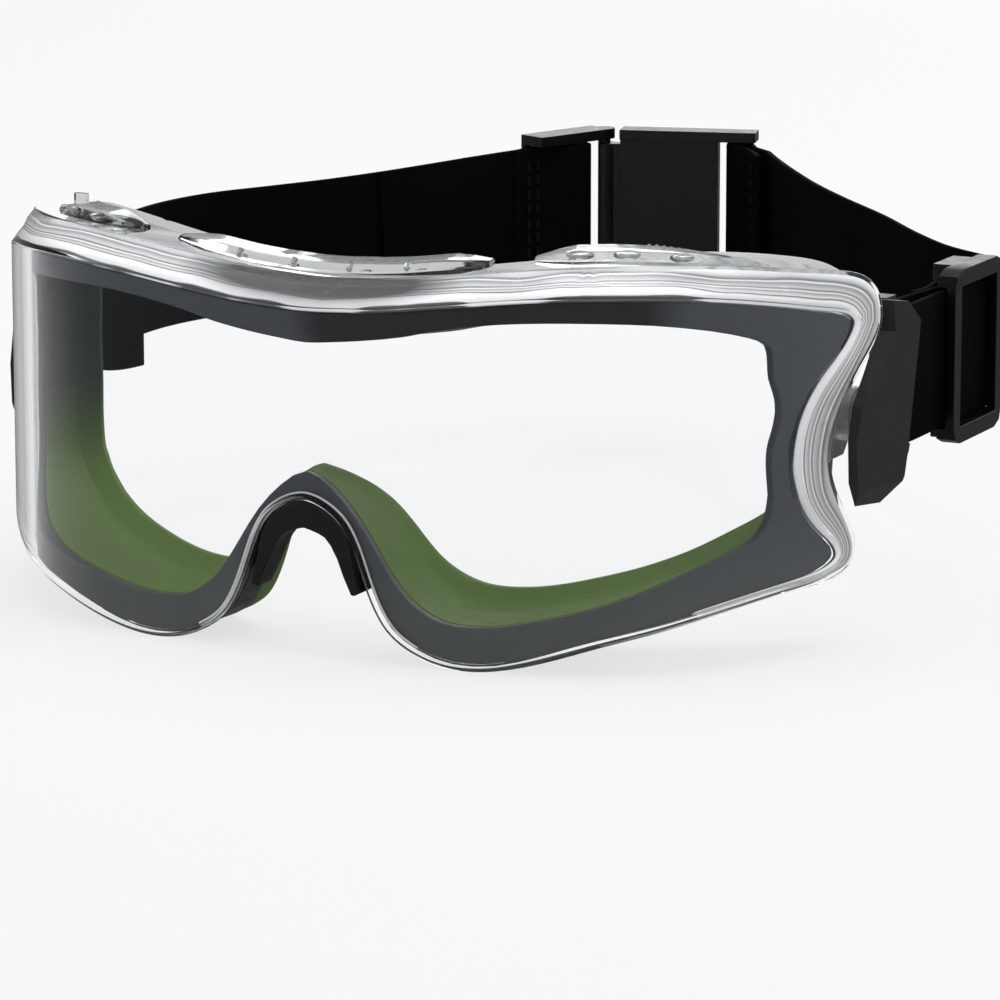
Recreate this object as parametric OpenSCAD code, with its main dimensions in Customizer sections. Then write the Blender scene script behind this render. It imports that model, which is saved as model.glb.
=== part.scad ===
// Over-glasses safety goggles with a one-piece wraparound lens, a soft face seal
// and an adjustable elastic head strap. Millimetres. X is the wearer's left, Y runs
// from the lens back to the head, Z is up. The origin is on the face, where the
// bridge of the nose meets the brow.

/* [Lens] */
// Radius of the front of the lens, seen from above
front_r = 300; // [280:10:340]
// Length of the front, from the middle to where the side bend starts
front_arc = 42; // [41:0.5:43]
// Radius of the side bend, seen from above
bend_r = 38; // [37:0.5:39]
// Length of the side bend along the lens
bend_arc = 28; // [27:0.5:29]
// Radius of the stretch at the temple, seen from above
temple_r = 134; // [130:1:140]
// Wall of the lens and of its return flange
lens_t = 2.2; // [2:0.1:2.4]
// Thickness of the flange that runs back from the lens's edge
flange_t = 1.3; // [1.2:0.1:1.6]
// How far the lens stands in front of the face
lens_reach = 30; // [29.5:0.1:30.5]

/* [Body] */
// Thickness of the flat carrier behind the lens
carrier_t = 1.9; // [1.6:0.1:2.2]
// Wall of the outer shell
shell_t = 1.2; // [1:0.1:1.4]
// How far the seal shows behind the shell
seal_reach = 6; // [5:0.5:7]
// Thickness of the lip that lies on the face
lip_t = 1.4; // [1.2:0.1:1.8]
// Thickness of the nose bridge at its top
bridge_t = 4.9; // [4.6:0.1:5.2]

/* [Strap] */
// Width of the webbing
strap_w = 25; // [24:0.5:25.5]
// Thickness of the webbing
strap_t = 1.3; // [1.1:0.1:1.4]
// Height of the middle of the strap at the temples
strap_z = 13.5; // [13:0.25:14]

/* [Clips] */
// Place of the clip's pivot behind the face
pivot_y = 25.5; // [25:0.25:26]
// Height of the clip's pivot
pivot_z = 8; // [7:0.5:9]
// Radius of the pivot pin
pin_r = 2.5; // [2.2:0.1:2.6]
// Radius of the bar that the strap is looped on
bar_r = 1.5; // [1.3:0.1:1.6]

/* [Slider] */
// Place of the middle of the slider at rest
slider_y = 66; // [64:0.5:68]
// Length of the slider along the strap
slider_l = 24; // [23:0.5:24]
// Height of the slider
slider_h = 32; // [31.5:0.5:33]

/* [Buckle] */
// Height of both halves of the buckle
buckle_h = 30; // [30:0.5:32]
// Length of the plate half
plate_l = 32; // [31:0.5:33]
// Length of the ring half
ring_l = 19.5; // [19:0.5:20.5]
// Radius of the bar that the halves swing on
hook_bar_r = 1.3; // [1.2:0.1:1.4]

/* [Hidden] */

clear_blue = [0.86, 0.90, 0.92, 0.45];
slate = "#3d4148";
ink = "#1c1d1f";
frost = [0.74, 0.76, 0.78, 0.8];
moss = "#5b7140";
black = "#141414";

gap = 0.3;            // between parts that don't touch
fit = 0.06;           // running fit of a pin in its bore
edge_round = 0.7;     // how deep the lens's front edge is rounded
carrier_d = lens_t + gap;
shell_d = carrier_d + carrier_t + 0.05;
sub = 2;              // stations between two points of an outline

// The lens column by column: distance along the front, top edge, bottom edge,
// then the same three for the opening of the carrier behind it.
columns = [
    [0, 30.2, -4.5, 0, 23.1, 0.2],
    [4, 30.3, -5.8, 5, 23.5, -2.5],
    [7.5, 30.5, -8.6, 9.6, 24, -7.2],
    [10, 30.6, -13.5, 13.4, 24.5, -12.8],
    [12.5, 30.8, -20.5, 16.6, 25, -17.7],
    [16, 31.1, -26.8, 19.8, 25.6, -21.2],
    [21.5, 31.8, -30.5, 23.8, 26.6, -23.8],
    [28, 32.6, -32.4, 28.5, 27.5, -25],
    [36, 33.6, -32.2, 36, 28.6, -24.7],
    [45, 34.5, -29.9, 45, 29.3, -22.8],
    [55, 34.9, -26.9, 55, 29.4, -20.5],
    [66, 34.6, -24.6, 65.5, 28.8, -17.4],
    [78, 33.5, -22.3, 76, 27.2, -13.9],
    [90, 31.7, -20.3, 84.2, 25.2, -11.2]];

// The side of the lens from its top corner round the notch to the bottom corner:
// distance along the front, height, how far the return flange flares outwards and
// runs back, the opening of the carrier, and the rear edge of the shell.
side = [
    [99, 30.1, 5.1, 7.2, 88, 23.5, 77, 31.5],
    [105.5, 28.8, 4.9, 5.4, 88.8, 20.8, 78.5, 29],
    [108.2, 25.6, 4.1, 3.4, 89, 17.4, 78.5, 25],
    [105, 20.4, 3.6, 2.4, 90.6, 13.4, 77.5, 20],
    [98.6, 14, 5, 3.2, 90.3, 9.2, 76.3, 14.5],
    [94.4, 5.5, 5.4, 3.6, 88.8, 5, 75.7, 7],
    [95.2, -2.6, 5.2, 3.4, 88.8, 0.6, 75.5, 0],
    [99.2, -8.8, 4.4, 3, 89.2, -3.2, 75.3, -6],
    [103.4, -13, 3, 2.2, 88.6, -6.6, 74.3, -11],
    [103.6, -16.6, 2.2, 2.6, 87.2, -9, 72, -14.5],
    [98.6, -19, 1.2, 2, 86, -10.2, 69, -17]];

// The route of the strap on the wearer's left, from the clip to the buckle's plate:
// X, Y and how far its middle lies above strap_z.
route_left = [
    [86.2, 40, 0], [86.2, 62, 0], [86.2, 85, 0], [83.6, 93, -0.4], [76.5, 99.5, -1],
    [67, 104.5, -0.6], [57.5, 111.5, 0.4], [47, 121.5, 1.4], [35, 131.5, 2.4],
    [24.5, 142, 3], [15, 153.5, 3.4], [7, 164, 3.7], [0.5, 173.6, 3.8]];

// The route on the wearer's right, from the clip to the buckle's ring.
route_right = [
    [-86.2, 40, 0], [-87.4, 52, 0], [-89, 66, 0.2], [-88.8, 80, 0.4], [-84.6, 92, 0.8],
    [-76.5, 101.5, 1.4], [-68.4, 111, 2], [-61.4, 121.5, 2.6], [-55.4, 132, 3.2],
    [-50.6, 142.5, 3.6], [-46.6, 152, 3.8]];
route_split = 7;      // where the stretch that bends with the ring begins
rear_z = strap_z + 3.8;

// Points, rails and lofts

function arc_on(p, r, l) = let(b = p[2] + l / r * 180 / PI)
    [p[0] + r * (sin(b) - sin(p[2])), p[1] + r * (cos(p[2]) - cos(b)), b];
function plan(s) = arc_on(arc_on(arc_on([0, -lens_reach, 0], front_r, min(s, front_arc)),
    bend_r, min(max(s - front_arc, 0), bend_arc)), temple_r, max(s - front_arc - bend_arc, 0));
// A point d behind the front of the lens, s along it and z high
function lens_pt(s, z, d) = let(p = plan(abs(s)), g = s < 0 ? -1 : 1)
    [g * (p[0] - d * sin(p[2])), p[1] + d * cos(p[2]), z];
// The direction along the front of the lens
function along(s) = let(a = plan(abs(s))[2]) [cos(a), (s < 0 ? -1 : 1) * sin(a), 0];

function spline(a, b, c, d, t) = 0.5 * (2 * b + (c - a) * t
    + (2 * a - 5 * b + 4 * c - d) * t * t + (3 * b - a - 3 * c + d) * t * t * t);
function closed_curve(p, k) = let(n = len(p)) [for (i = [0:n - 1], j = [0:k - 1])
    spline(p[(i + n - 1) % n], p[i], p[(i + 1) % n], p[(i + 2) % n], j / k)];
function open_curve(p, k) = let(n = len(p)) [for (i = [0:n - 2], j = [0:k - 1])
    spline(p[max(i - 1, 0)], p[i], p[i + 1], p[min(i + 2, n - 1)], j / k), p[n - 1]];
function unit(v) = v / norm(v);

// The face: flat at the brow, falling back to the temples, with the nose in front
function nose_fade(z) = z < 4 ? 1 : z > 26 ? 0 : pow(cos((z - 4) / 22 * 90), 2);
function face_y(x, z) = -6 + 0.0026 * x * x + 0.00000065 * pow(x, 4)
    - 14 * exp(-pow(x / (9 + 0.35 * max(0, -z)), 2)) * nose_fade(z);

// One row a station of the half outline: distance, height, flare, run back,
// opening distance and height, rear X and Z
last_col = len(columns) - 1;
function top_row(c) = let(x = plan(c[0])[0], f = pow(c[0] / 90, 2))
    [c[0], c[1], 3.8 + 0.8 * f * f, 8.5 - 1.2 * f, c[3], c[4], x * (1 - 0.045 * f), c[1] + 3];
function bottom_row(c) = let(x = plan(c[0])[0], f = pow(c[0] / 90, 2),
        n = min(1, max(0, (c[0] - 30) / 16)))
    [c[0], c[2], 0.4 * n, 0.9 + 0.5 * n, c[3], c[5], x * (1 - 0.16 * f), c[2] + 0.4 + 1.4 * n];
half = concat([for (c = columns) top_row(c)], side,
    [for (i = [last_col:-1:0]) bottom_row(columns[i])]);
mirror_row = [-1, 1, 1, 1, -1, 1, -1, 1];
whole = concat(half, [for (i = [len(half) - 2:-1:1])
    [for (k = [0:7]) half[i][k] * mirror_row[k]]]);
stations = closed_curve(whole, sub);
count = len(stations);
// Outward directions of the lens outline and of the rear outline at each station
function outward(a, b) = [for (i = [0:count - 1])
    let(p = stations[(i + count - 1) % count], q = stations[(i + 1) % count])
    unit([p[b] - q[b], q[a] - p[a]])];
edge_out = outward(0, 1);
rear_out = outward(6, 7);

// A rail along the lens's edge, e inside it and d behind the front
function edge_rail(e, d) = [for (i = [0:count - 1])
    lens_pt(stations[i][0] - e * edge_out[i][0], stations[i][1] - e * edge_out[i][1], d)];
// The rear edge of the return flange, e inside its outer side
function flange_rail(e) = let(base = edge_rail(0, edge_round)) [for (i = [0:count - 1])
    let(st = stations[i], n = edge_out[i], reach = st[2] - e)
    base[i] + n[0] * reach * along(st[0]) + [0, st[3], n[1] * reach]];
function opening_rail(d) = [for (st = stations) lens_pt(st[4], st[5], d)];
// The rim of carrier and shell inside the lens, near its edge where the lens has no flange
function shell_inset(i) = gap + flange_t * min(1, stations[i][3] / 3);
function inner_rail(e, d) = [for (i = [0:count - 1]) let(n = edge_out[i], f = shell_inset(i) + e)
    lens_pt(stations[i][0] - f * n[0], stations[i][1] - f * n[1], d)];
function shell_front(e) = inner_rail(e, shell_d);
front_of_shell = shell_front(0);
function rear_xz(i, e) = [stations[i][6] - e * rear_out[i][0],
    stations[i][7] - e * rear_out[i][1]];
function shell_rear_y(i) = let(p = rear_xz(i, 0))
    max(front_of_shell[i][1] + 2, face_y(p[0], p[1]) - seal_reach);
function shell_rear(e, dy) = [for (i = [0:count - 1]) let(p = rear_xz(i, e))
    [p[0], shell_rear_y(i) + dy, p[1]]];
function face_rear(e, dy) = [for (i = [0:count - 1]) let(p = rear_xz(i, e))
    [p[0], face_y(p[0], p[1]) + dy, p[1]]];
// The inner edge of the lip, drawn in from the opening
lip_top = 3;
function lip_xz(i) = let(p = lens_pt(stations[i][4], stations[i][5], shell_d))
    [p[0] * (1 - 0.06 * pow(p[0] / 74, 2)), lip_top + (p[2] - lip_top) * 0.9];
function lip_rail(dy) = [for (i = [0:count - 1]) let(p = lip_xz(i))
    [p[0], face_y(p[0], p[1]) + dy, p[1]]];
function crease_rail() = [for (i = [0:count - 1])
    let(p = lens_pt(stations[i][4], stations[i][5], shell_d), l = lip_xz(i))
    [p[0], max(p[1] + 0.6, face_y(l[0], l[1]) - 4), p[2]]];

// Joins rails of equal length into one closed skin, like a tyre
module tyre(rails) {
    n = len(rails[0]);
    m = len(rails);
    polyhedron([for (r = rails) each r], [for (r = [0:m - 1], i = [0:n - 1], t = [0, 1])
        let(a = r * n + i, b = r * n + (i + 1) % n,
            c = ((r + 1) % m) * n + (i + 1) % n, d = ((r + 1) % m) * n + i)
        t == 0 ? [a, b, c] : [a, c, d]]);
}

// Joins sections along a path into one bar with flat ends
module bar_loft(sections) {
    n = len(sections[0]);
    m = len(sections);
    polyhedron([for (s = sections) each s], concat(
        [for (r = [0:m - 2], i = [0:n - 1], t = [0, 1])
            let(a = r * n + i, b = r * n + (i + 1) % n, c = b + n, d = a + n)
            t == 0 ? [a, b, c] : [a, c, d]],
        [for (i = [1:n - 2]) [0, i + 1, i]],
        [for (i = [1:n - 2]) [(m - 1) * n, (m - 1) * n + i, (m - 1) * n + i + 1]]));
}

// The lens: front face, rounded edge and return flange, closed across the middle
// The spine's distance along the front grows all the way out to the notch
spine_last = 66.6;
function spine_s(i, s) = let(h = min(i, count - i, abs(count / 2 - i)) / sub)
    (s < 0 ? -1 : 1) * (h < last_col ? abs(s) * (1 - 0.26 * pow(s / 90, 2))
        : spine_last + 15.4 * (1 - pow((count / 4 / sub - h) / 6, 2)));
// Station i drawn a share f of the way to the spine
function drawn(i, f, e) = let(j = (count + count / 2 - i) % count,
        p = [stations[i][0], stations[i][1]] - e * edge_out[i],
        q = [stations[j][0], stations[j][1]] - e * edge_out[j])
    [p[0] + (spine_s(i, (p[0] + q[0]) / 2) - p[0]) * f, p[1] + ((p[1] + q[1]) / 2 - p[1]) * f];
function face_rail(f, e, d) = [for (i = [0:count - 1]) let(p = drawn(i, f, e))
    lens_pt(p[0], p[1], d)];

// Triangles that join the upper and the lower half of a rail of n points
function across(n) = let(h = n / 2) [for (k = [-h / 2:h / 2 - 1], t = [0, 1])
    let(a = (k + n) % n, b = (k + 1 + n) % n, c = h - k - 1, d = h - k)
    if (t == 0 ? b != c : a != d) t == 0 ? [a, b, c] : [a, c, d]];

module lens() {
    rails = [face_rail(0.75, 0, 0), face_rail(0.4, 0, 0), edge_rail(0.8, 0),
        edge_rail(0, edge_round), flange_rail(0), flange_rail(flange_t),
        edge_rail(flange_t, lens_t), face_rail(0.4, lens_t, lens_t),
        face_rail(0.75, lens_t, lens_t)];
    n = count;
    m = len(rails);
    z = (m - 1) * n;
    color(clear_blue) polyhedron([for (r = rails) each r], concat(
        [for (r = [0:m - 2], i = [0:n - 1], t = [0, 1])
            let(a = r * n + i, b = r * n + (i + 1) % n, c = b + n, d = a + n)
            t == 0 ? [a, c, b] : [a, d, c]],
        [for (q = across(n)) q],
        [for (q = across(n)) [z + q[2], z + q[1], z + q[0]]]));
}

module front_carrier() {
    color(slate) tyre([inner_rail(0, carrier_d), opening_rail(carrier_d),
        opening_rail(carrier_d + carrier_t), inner_rail(0, carrier_d + carrier_t)]);
}

module body_shell() {
    color(frost) tyre([shell_front(0), shell_front(shell_t), shell_rear(shell_t, 0),
        shell_rear(0, 0)]);
}

// The soft bridge under the arch of the lens, over the nose
bridge_from = count / 2 - 4 * sub;
bridge_to = count / 2 + 4 * sub;
module nose_bridge() {
    inner = edge_rail(-gap, 0.6);
    step = edge_rail(-gap, 3.6);
    seat = edge_rail(0.85, 3.6);
    color(ink) bar_loft([for (i = [bridge_from:bridge_to])
        let(t = bridge_t - 0.021 * pow(stations[i][0], 2), st = stations[i], n = edge_out[i],
            e = -gap - t, y = shell_rear_y(i),
            outer = lens_pt(st[0] - e * n[0], st[1] - e * n[1], 0.6))
        [outer, [outer[0], y - 0.03 * st[0] * st[0], outer[2]], [seat[i][0], y, seat[i][2]], seat[i], step[i],
            inner[i]]]);
}

// The green skirt inside the shell: a wall from the carrier back to a crease, the lip
// that lies on the face, and a hollow between them that is open to the front
skirt_t = 1.7;
function opening_out(d, dy) = [for (i = [0:count - 1]) let(st = stations[i], n = edge_out[i])
    lens_pt(st[4] + skirt_t * n[0], st[5] + skirt_t * n[1], d) + [0, dy, 0]];
function hollow_crease() = let(c = crease_rail(), o = opening_out(shell_d, 0))
    [for (i = [0:count - 1]) [o[i][0], max(o[i][1] + 0.4, c[i][1] - 0.5), o[i][2]]];
function hollow_rear(e) = [for (i = [0:count - 1]) let(p = rear_xz(i, e))
    [p[0], max(face_y(p[0], p[1]) - lip_t, shell_rear_y(i) + 0.6), p[1]]];
function hollow_lip() = let(c = hollow_crease(), r = hollow_rear(shell_t + 0.5)) [for (i = [0:count - 1])
    let(p = 0.65 * c[i] + 0.35 * r[i]) [p[0], max(c[i][1] + 0.3, face_y(p[0], p[2]) - lip_t - 0.3), p[2]]];
module face_seal() {
    color(moss) tyre([opening_out(shell_d, 0), opening_rail(shell_d), crease_rail(), lip_rail(-lip_t),
        lip_rail(0), face_rear(0, 0.5), shell_rear(0, 0.15), shell_rear(shell_t + 0.5, 0.15),
        hollow_rear(shell_t + 0.5), hollow_lip(), hollow_crease()]);
}

// Clear covers over the vents: sections of depth behind the lens and height above it
cover = [[7.7, 4.4], [9, 6], [14, 6.4], [16.2, 5.4], [16.2, 3.1], [9.9, 2.6], [9.7, 4.1]];
cover_mid = [11.8, 4.6];
function top_station(i) = stations[(i + count) % count];
module vent_cover(from, to, posts, taper = 0.4) {
    color(clear_blue) {
        bar_loft([for (i = [from:to]) let(st = top_station(i),
                f = min(1, 0.35 + 0.4 * (i - from), 0.35 + taper * (to - i)))
            [for (c = cover) let(q = cover_mid + f * (c - cover_mid))
                lens_pt(st[0], st[1] + q[1], q[0])]]);
        for (i = posts) let(st = top_station(i), foot = -0.1 - 0.004 * abs(st[0]),
                p = lens_pt(st[0], st[1] + foot, cover_mid[0] + 1))
            translate(p) cylinder(r = 1.1, h = 4 - foot, $fn = 24);
    }
}
module vent_cover_center() vent_cover(-15, 15, [-11, -4, 4, 11]);
module vent_cover_left() vent_cover(17, 27, [19, 22], 0.16);
module vent_cover_right() mirror([1, 0, 0]) vent_cover_left();

// Side bracket, pin and washer: the pivot of each clip, along X
bracket_x = 76.6;
tongue_x = 74.9;
boss_x = 82.1;
washer_x = 82.15;
washer_t = 0.7;
pin_end = 86.4;
module along_x(x, y, z, r, h) translate([x, y, z]) rotate([0, 90, 0]) cylinder(r = r, h = h, $fn = 40);
module yz_plate(x, h, pts) translate([x, 0, 0]) rotate([90, 0, 90]) linear_extrude(h) polygon(pts);

module side_bracket() {
    color(frost) difference() {
        union() {
            yz_plate(bracket_x, 1.6, [[12, 2], [14, 0], [28, 0], [30.5, 2.5], [30.5, 12],
                [28.5, 14], [14, 14], [12, 12]]);
            along_x(bracket_x + 1, pivot_y, pivot_z, pin_r + 2.4, boss_x - bracket_x - 1);
            translate([tongue_x, 12.5, 3]) cube([bracket_x - tongue_x + 0.1, 5, 8]);
        }
        along_x(bracket_x - 1, pivot_y, pivot_z, pin_r + fit, 10);
        along_x(bracket_x - 1, pivot_y, pivot_z, pin_r + 1.1, 2.35);
    }
}
module side_bracket_left() side_bracket();
module side_bracket_right() mirror([1, 0, 0]) side_bracket();

module pivot_pin() {
    color("dimgray") {
        along_x(bracket_x + 0.1, pivot_y, pivot_z, pin_r + 1, 1.2);
        along_x(bracket_x + 0.5, pivot_y, pivot_z, pin_r, pin_end - bracket_x - 0.5);
    }
}
module pivot_pin_left() pivot_pin();
module pivot_pin_right() mirror([1, 0, 0]) pivot_pin();

module pivot_washer() {
    color("lightgray") difference() {
        along_x(washer_x, pivot_y, pivot_z, pin_r + 2.2, washer_t);
        along_x(washer_x - 1, pivot_y, pivot_z, pin_r + fit, washer_t + 2);
    }
}
module pivot_washer_left() pivot_washer();
module pivot_washer_right() mirror([1, 0, 0]) pivot_washer();

// The clip: a faceted shield over the pivot, with a bar for the strap under its rear edge
clip_x = 84.2;
bar_x = 83.7;
bar_y = 33.5;
clip_outline = [[15.5, 5], [17.2, 11], [23, 16.8], [28.4, 22.8], [29, 28.2], [33, 27.6],
    [35.6, 24], [31.8, 0], [31, -3.5], [27.5, -8], [19, -7.2], [16, -2.5]];
// Cuts away all that lies beyond a plane through p whose normal points az, el
module beyond(p, az, el) translate(p) rotate([0, -el, az]) translate([0, -60, -60]) cube([60, 120, 120]);
module strap_clip() {
    half_w = strap_w / 2 + 0.5;
    color(black) difference() {
        union() {
            difference() {
                yz_plate(clip_x, 8, clip_outline);
                beyond([86, 16, 8], -10.5, 0);
                beyond([89.2, 34.5, 24.4], -16, 9);
                beyond([87.2, 24, -4.5], -12, -34);
                translate([clip_x - 2, 29.8, strap_z - half_w]) cube([4.8, 30, 2 * half_w]);
            }
            along_x(washer_x + washer_t + 0.1, pivot_y, pivot_z, pin_r + 1.7, 1.6);
            for (g = [-1, 1]) translate([bar_x - 1.9, bar_y - 2.2, strap_z + g * (half_w + 0.8) - 0.8])
                cube([3, 4.2, 1.6]);
            yz_plate(bar_x - 0.5, 2.7, [[28, -5], [33, -4.8], [37.5, -3.4], [40, -1], [40.6, 0.4],
                [28, 0.4]]);
            translate([bar_x, bar_y, strap_z - half_w - 0.5]) cylinder(r = bar_r, h = 2 * half_w + 1, $fn = 32);
        }
        along_x(washer_x, pivot_y, pivot_z, pin_r + fit, pin_end + 0.1 - washer_x);
    }
}
module strap_clip_left() strap_clip();
module strap_clip_right() mirror([1, 0, 0]) strap_clip();

// Webbing

// A flat strap on edge along points of X, Y and the height of its middle
module webbing(path) {
    n = len(path);
    color(black) bar_loft([for (i = [0:n - 1])
        let(p = path[max(i - 1, 0)], q = path[min(i + 1, n - 1)], u = unit([q[0] - p[0], q[1] - p[1]]),
            l = [-u[1], u[0], 0] * strap_t / 2, c = path[i], w = [0, 0, strap_w / 2])
        [c + l - w, c - l - w, c - l + w, c + l + w]]);
}
wrap_r = bar_r + 0.05 + strap_t / 2;
// Points round a bar from one angle to another
function wrap(x, y, z, r, a, b) = let(n = 7) [for (i = [0:n])
    let(t = a + (b - a) * i / n) [x + r * cos(t), y + r * sin(t), z]];
function lifted(route) = [for (p = route) [p[0], p[1], strap_z + p[2]]];
function part(list, a, b) = [for (i = [a:b]) list[i]];
function flip_x(path) = [for (p = path) [-p[0], p[1], p[2]]];

// The buckle lies at hook, its plate and its ring point along their angles
hook = [-36.5, 173.6];
plate_a = 15.7;
ring_a = -112;
hook_open = [127, 252];  // where the plate's hook is open, from the plate's direction
plate_bar = plate_l - 3.5;
ring_bar = 7.6;
function in_buckle(a, x, y) = [hook[0] + x * cos(a) - y * sin(a), hook[1] + x * sin(a) + y * cos(a), rear_z];

// The sewn end at the plate: t back along the strap from the bar, h out from it
bar_at = in_buckle(plate_a, plate_bar, 0);
tail_a = 34;
function from_bar(t, h) = bar_at + [t * sin(tail_a) + h * cos(tail_a), -t * cos(tail_a) + h * sin(tail_a), 0];

plate_end = [from_bar(4, -1.7), from_bar(8, 0.1), from_bar(12, 0.45), from_bar(18, 0.4)];
clip_wrap = wrap(bar_x, bar_y, strap_z, wrap_r, 180, 360);
module strap_left() {
    webbing(concat(clip_wrap, open_curve(lifted(route_left), 2), [from_bar(6, 2)],
        wrap(bar_at[0], bar_at[1], rear_z, wrap_r, tail_a, tail_a + 180), plate_end));
}

// The inner layer between the clip and the slider, sewn round the slider's middle bar
slider_bar_x = 82.75;
slider_bar_r = 1;
tail_r = slider_bar_r + 0.1 + strap_t / 2;
tail_end = [for (p = [[81.2, 63.5], [82, 60], [82.3, 56], [81.6, 51]]) [p[0], p[1], strap_z]];
module strap_left_tail() {
    webbing(concat([for (p = [[bar_x - wrap_r, bar_y + 0.3], [81.5, 38], [82.2, 46], [83.4, 54],
            [84.3, 61]]) [p[0], p[1], strap_z]],
        wrap(slider_bar_x, slider_y, strap_z, tail_r, 0, 180), tail_end));
}

right_path = open_curve(lifted(route_right), 2);
split = route_split * 2;
// The sewn end on the wearer's right lies a little lower than the layer it is sewn to
clip_end = [for (p = [[-85.6, 65.5, -4.6], [-85.8, 58, -4.2], [-85.2, 50, -3], [-83.2, 42, -1.2],
    [-81.7, 37, -0.3]]) [p[0], p[1], strap_z + p[2]]];
module strap_right() {
    webbing(concat(clip_end, flip_x(clip_wrap), part(right_path, 0, split)));
}
module strap_right_end() {
    webbing(concat(part(right_path, split, len(right_path) - 1), [for (x = [19, 13.5]) in_buckle(ring_a, x, -2.2)],
        wrap_ring(), ring_end));
}
ring_end = [for (p = [[11.5, 1.7], [15, 0.1], [18, -0.7], [25, -0.8]]) in_buckle(ring_a, p[0], p[1])];
function wrap_ring() = let(c = in_buckle(ring_a, ring_bar, 0))
    wrap(c[0], c[1], rear_z, wrap_r, ring_a + 270, ring_a + 90);

// The slider: a flat frame with a middle bar set inwards, which the sewn end goes round
slider_in = 81.6;
slider_out = 88.9;
rail_z = strap_w / 2 + 0.4;
module strap_slider() {
    a = slider_l / 2;
    b = slider_h / 2;
    c = 3.5;
    color("#2b2c2e") translate([0, slider_y, strap_z]) {
        difference() {
            yz_plate(slider_in, slider_out - slider_in, [[-a, -b + c], [-a + 1, -b + 1], [-a + c, -b],
                [a - c, -b], [a - 1, -b + 1], [a, -b + c], [a, b - c], [a - 1, b - 1], [a - c, b],
                [-a + c, b], [-a + 1, b - 1], [-a, b - c]]);
            translate([slider_in - 1, -20, -rail_z]) cube([slider_out - 1.7 - slider_in + 1, 40, 2 * rail_z]);
            translate([slider_in - 1, -a + 3.3, -rail_z]) cube([20, slider_l - 6.6, 2 * rail_z]);
            for (g = [-1, 1]) translate([slider_in - 1, g * 15 - 10, -b - 1]) cube([4.6, 20, 2 * b + 2]);
        }
        translate([slider_bar_x, 0, -rail_z - 0.5]) cylinder(r = slider_bar_r, h = 2 * rail_z + 1, $fn = 24);
    }
}

// The buckle
rim_z = strap_w / 2 + 0.4;
module in_place(a) translate([hook[0], hook[1], rear_z]) rotate([0, 0, a]) children();
module buckle_plate() {
    b = buckle_h / 2;
    hook_h = rim_z - 1;
    color(ink) in_place(plate_a) {
        difference() {
            union() {
                translate([3.6, -1.8, -b]) cube([plate_bar - 4.4 - 3.6, 3.6, 2 * b]);
                for (g = [-1, 1]) translate([3.6, -2.8, g > 0 ? rim_z : -b]) cube([plate_l - 3.6, 5.6, b - rim_z]);
                cylinder(r = hook_bar_r + 1.4, h = 2 * hook_h, center = true, $fn = 40);
                translate([1, -1.6, -hook_h]) cube([2.8, 3.2, 2 * hook_h]);
            }
            cylinder(r = hook_bar_r + fit, h = 40, center = true, $fn = 40);
            translate([0, 0, -20]) linear_extrude(40) polygon([[0, 0],
                for (t = [hook_open[0], 190, hook_open[1]]) [9 * cos(t), 9 * sin(t)]]);
        }
        translate([plate_bar, 0, -rim_z - 0.5]) cylinder(r = bar_r, h = 2 * rim_z + 1, $fn = 32);
    }
}
module buckle_ring() {
    b = buckle_h / 2;
    color(ink) in_place(ring_a) {
        for (g = [-1, 1]) translate([0, 0, g > 0 ? rim_z : -b]) {
            translate([0, -4.2, 0]) cube([ring_l, 6.4, b - rim_z]);
            cylinder(r = 2.2, h = b - rim_z, $fn = 40);
        }
        cylinder(r = hook_bar_r, h = 2 * rim_z + 1, center = true, $fn = 40);
        translate([ring_bar, 0, 0]) cylinder(r = bar_r, h = 2 * rim_z + 1, center = true, $fn = 32);
        translate([ring_l - 2.2, -4.2, -rim_z - 0.5]) cube([2.2, 1.1, 2 * rim_z + 1]);
    }
}

// Rows of thread that hold the sewn ends: short stitches that stand out of the webbing
// on one side, between two points of its path
thread_t = 0.35;
thread_w = 21;
module stitching(p, q, side) {
    u = unit([q[0] - p[0], q[1] - p[1]]);
    color("#3a3a3a") translate([p[0], p[1], p[2]]) rotate([0, 0, atan2(u[1], u[0])])
        for (r = [0.5, 2.9], k = [-3:3]) translate([r, side * (strap_t / 2 + 0.03 + thread_t / 2) - thread_t / 2,
            k * thread_w / 7 - 1]) cube([0.7, thread_t, 2]);
}
module stitching_slider() stitching(tail_end[2], tail_end[3], -1);
module stitching_plate() stitching(plate_end[2], plate_end[3], -1);
module stitching_ring() stitching(ring_end[2], ring_end[3], 1);
module stitching_clip_right() stitching(clip_end[1], clip_end[0], 1);

lens();
front_carrier();
body_shell();
nose_bridge();
face_seal();
vent_cover_center();
vent_cover_left();
vent_cover_right();
side_bracket_left();
side_bracket_right();
pivot_pin_left();
pivot_pin_right();
pivot_washer_left();
pivot_washer_right();
strap_clip_left();
strap_clip_right();
strap_left();
strap_left_tail();
strap_right();
strap_right_end();
strap_slider();
buckle_plate();
buckle_ring();
stitching_slider();
stitching_plate();
stitching_ring();
stitching_clip_right();
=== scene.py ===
from math import cos, sin, radians, pi
import bmesh
import bpy
from mathutils import Matrix, Vector
from mathutils.bvhtree import BVHTree


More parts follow.
